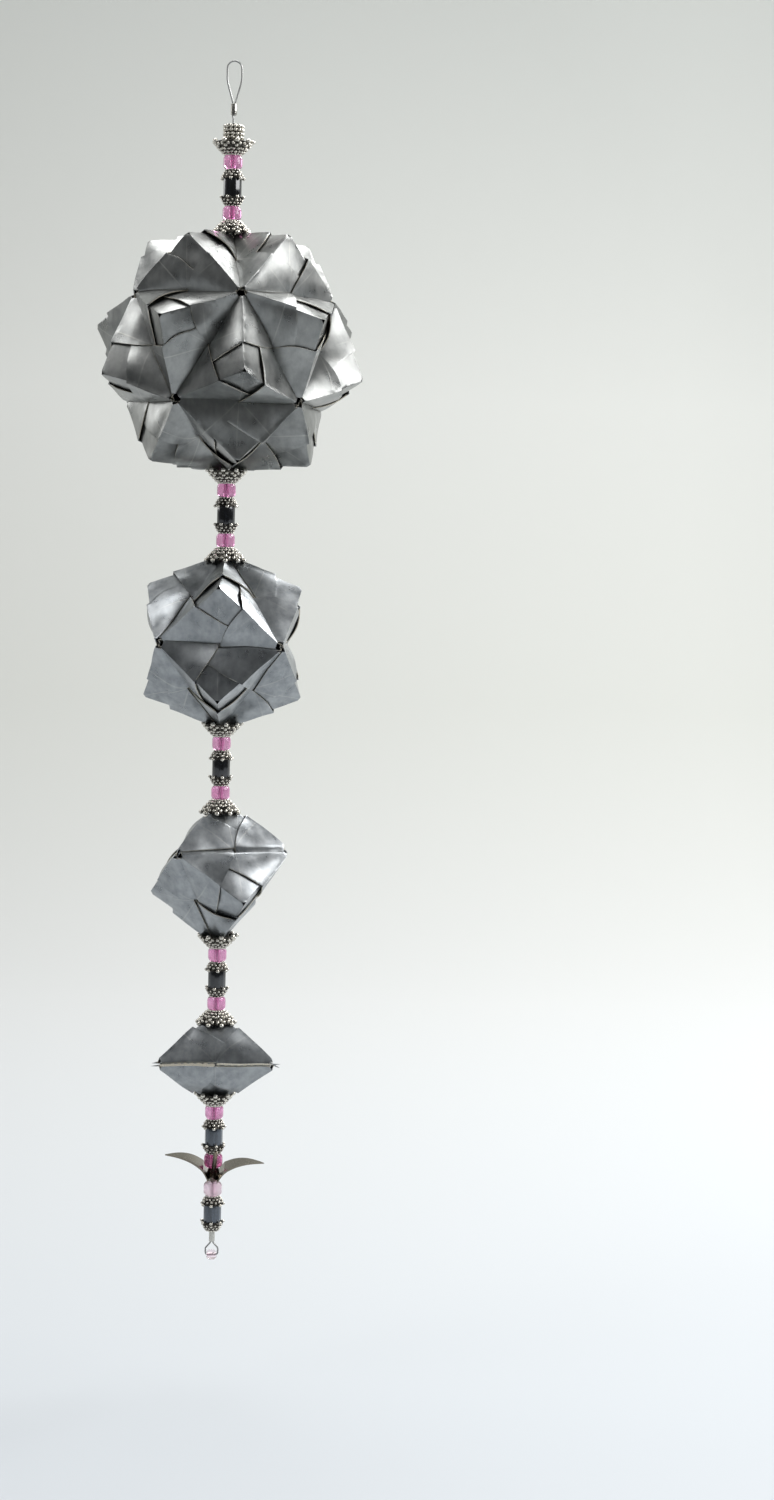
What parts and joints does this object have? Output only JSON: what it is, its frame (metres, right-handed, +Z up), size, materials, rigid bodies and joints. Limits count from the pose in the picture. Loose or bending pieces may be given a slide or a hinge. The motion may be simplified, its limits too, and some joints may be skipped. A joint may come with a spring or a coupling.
{
  "type": "kusudama paper ball ornament",
  "caption": "Hanging ornament of folded-paper modular balls threaded on a beading wire with glass beads, bead caps, tube beads and a small metal crane",
  "frame": {"origin": "top of the wire loop that the ornament hangs by, on the axis of the strand", "axes": "+Z up along the strand, +X to the right and -Y toward the viewer of the picture"},
  "size_m": [0.0562, 0.0572, 0.2574],
  "materials": {
    "silver_paper": "satin metallic paper",
    "wire": "bright nylon-coated wire",
    "crimp": "bright silver plate",
    "antique_silver": "antiqued silver",
    "pink_glass": "transparent pink glass",
    "hematite": "polished",
    "bright_pewter": "polished pewter",
    "clear_glass": "clear glass"
  },
  "bodies": {
    "root": {"beading_wire": "wire", "crane_charm": "bright_pewter", "crimp_tubes": "crimp", "cube_unit_1": "silver_paper", "cube_unit_2": "silver_paper", "cube_unit_3": "silver_paper", "cube_unit_4": "silver_paper", "cube_unit_5": "silver_paper", "cube_unit_6": "silver_paper", "end_bead": "clear_glass", "hematite_tubes": "hematite", "jewel_unit_1": "silver_paper", "jewel_unit_2": "silver_paper", "jewel_unit_3": "silver_paper", "large_ball_unit_01": "silver_paper", "large_ball_unit_02": "silver_paper", "large_ball_unit_03": "silver_paper", "large_ball_unit_04": "silver_paper", "large_ball_unit_05": "silver_paper", "large_ball_unit_06": "silver_paper", "large_ball_unit_07": "silver_paper", "large_ball_unit_08": "silver_paper", "large_ball_unit_09": "silver_paper", "large_ball_unit_10": "silver_paper", "large_ball_unit_11": "silver_paper", "large_ball_unit_12": "silver_paper", "large_ball_unit_13": "silver_paper", "large_ball_unit_14": "silver_paper", "large_ball_unit_15": "silver_paper", "large_ball_unit_16": "silver_paper", "large_ball_unit_17": "silver_paper", "large_ball_unit_18": "silver_paper", "large_ball_unit_19": "silver_paper", "large_ball_unit_20": "silver_paper", "large_ball_unit_21": "silver_paper", "large_ball_unit_22": "silver_paper", "large_ball_unit_23": "silver_paper", "large_ball_unit_24": "silver_paper", "large_ball_unit_25": "silver_paper", "large_ball_unit_26": "silver_paper", "large_ball_unit_27": "silver_paper", "large_ball_unit_28": "silver_paper", "large_ball_unit_29": "silver_paper", "large_ball_unit_30": "silver_paper", "large_bead_caps": "antique_silver", "pink_beads": "pink_glass", "small_ball_unit_01": "silver_paper", "small_ball_unit_02": "silver_paper", "small_ball_unit_03": "silver_paper", "small_ball_unit_04": "silver_paper", "small_ball_unit_05": "silver_paper", "small_ball_unit_06": "silver_paper", "small_ball_unit_07": "silver_paper", "small_ball_unit_08": "silver_paper", "small_ball_unit_09": "silver_paper", "small_ball_unit_10": "silver_paper", "small_ball_unit_11": "silver_paper", "small_ball_unit_12": "silver_paper", "small_bead_caps": "antique_silver", "top_rondelles": "antique_silver"}
  },
  "joints": []
}
